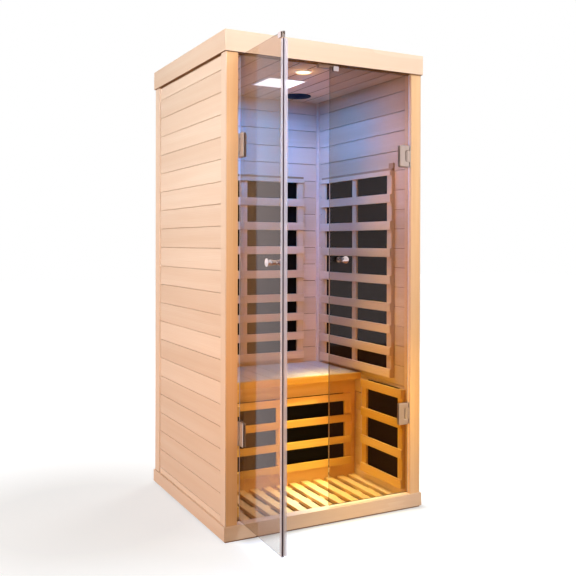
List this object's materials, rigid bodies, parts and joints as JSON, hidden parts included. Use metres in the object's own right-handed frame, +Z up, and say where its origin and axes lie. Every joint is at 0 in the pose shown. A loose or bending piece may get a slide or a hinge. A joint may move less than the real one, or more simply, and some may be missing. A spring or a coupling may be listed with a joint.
{
  "type": "infrared sauna cabin",
  "caption": "Upright infrared sauna cabin of pale softwood boards with a bench, slatted heater guards, ceiling lights and bronze glass doors on pin hinges.",
  "frame": {"origin": "centre of the base's underside, on the floor", "axes": "+Z up, the doors face -Y, +X to the right as seen from the front"},
  "size_m": [0.9, 1.2145, 1.9],
  "materials": {
    "pale_wood": "smooth unvarnished hemlock, pale peach",
    "honey_wood": "smooth unvarnished hemlock, honey",
    "inner_wood": "smooth unvarnished hemlock boards",
    "heater_black": "satin black carbon laminate",
    "bronze_glass": "polished toughened glass, bronze tint",
    "satin_steel": "satin nickel",
    "chrome": "bright chrome",
    "clear_seal": "clear extruded plastic",
    "white_plastic": "smooth white",
    "black_plastic": "smooth black",
    "speaker_grille": "dark blue-black perforated grille",
    "lamp_lens": "frosted lamp cover",
    "sheet_steel": "grey painted sheet"
  },
  "bodies": {
    "cabin": {"base_plinth": "pale_wood", "left_back_post": "pale_wood", "right_back_post": "pale_wood", "left_outer_boards": "pale_wood", "right_outer_boards": "pale_wood", "back_outer_boards": "pale_wood", "roof_fascia": "pale_wood", "left_front_post": "honey_wood", "right_front_post": "honey_wood", "floor_slats": "honey_wood", "bench_seat": "honey_wood", "bench_frame": "honey_wood", "left_wall_guard": "honey_wood", "right_wall_guard": "honey_wood", "left_calf_guard": "honey_wood", "right_calf_guard": "honey_wood", "back_wall_guard": "honey_wood", "bench_guard": "honey_wood", "floor_deck": "inner_wood", "left_inner_boards": "inner_wood", "right_inner_boards": "inner_wood", "back_inner_boards": "inner_wood", "roof_cover": "inner_wood", "ceiling_boards": "inner_wood", "left_wall_heater": "heater_black", "right_wall_heater": "heater_black", "left_calf_heater": "heater_black", "right_calf_heater": "heater_black", "back_wall_heater": "heater_black", "bench_heater": "heater_black", "left_door_upper_hinge_bracket": "satin_steel", "left_door_lower_hinge_bracket": "satin_steel", "right_door_upper_hinge_bracket": "satin_steel", "right_door_lower_hinge_bracket": "satin_steel", "left_door_upper_hinge_pin": "chrome", "left_door_lower_hinge_pin": "chrome", "right_door_upper_hinge_pin": "chrome", "right_door_lower_hinge_pin": "chrome", "light_panel": "white_plastic", "downlight_ring": "white_plastic", "door_catch": "white_plastic", "control_panel": "black_plastic", "speaker": "speaker_grille", "downlight_lens": "lamp_lens", "power_box": "sheet_steel"},
    "left_door": {"left_door_glass": "bronze_glass", "left_door_seal": "clear_seal", "left_door_outer_knob": "chrome", "left_door_inner_knob": "chrome", "left_door_strike": "chrome", "left_door_upper_hinge_clamp": "satin_steel", "left_door_lower_hinge_clamp": "satin_steel"},
    "right_door": {"right_door_glass": "bronze_glass", "right_door_outer_knob": "chrome", "right_door_inner_knob": "chrome", "right_door_strike": "chrome", "right_door_upper_hinge_clamp": "satin_steel", "right_door_lower_hinge_clamp": "satin_steel"},
    "heat_button": {"heat_button": "white_plastic"},
    "light_button": {"light_button": "white_plastic"}
  },
  "joints": [
    {"name": "left_door_hinge", "type": "hinge", "parent": "cabin", "child": "left_door", "pos_m": [-0.378, -0.412, 0.94], "axis": [0, 0, 1], "range_deg": [-8, 92]},
    {"name": "right_door_hinge", "type": "hinge", "parent": "cabin", "child": "right_door", "pos_m": [0.378, -0.412, 0.94], "axis": [0, 0, 1], "range_deg": [0, 100]},
    {"name": "heat_button_press", "type": "slide", "parent": "cabin", "child": "heat_button", "axis": [-1, 0, 0], "range_m": [0, 0.0015], "stiffness_N_per_m": 300},
    {"name": "light_button_press", "type": "slide", "parent": "cabin", "child": "light_button", "axis": [-1, 0, 0], "range_m": [0, 0.0015], "stiffness_N_per_m": 300}
  ]
}
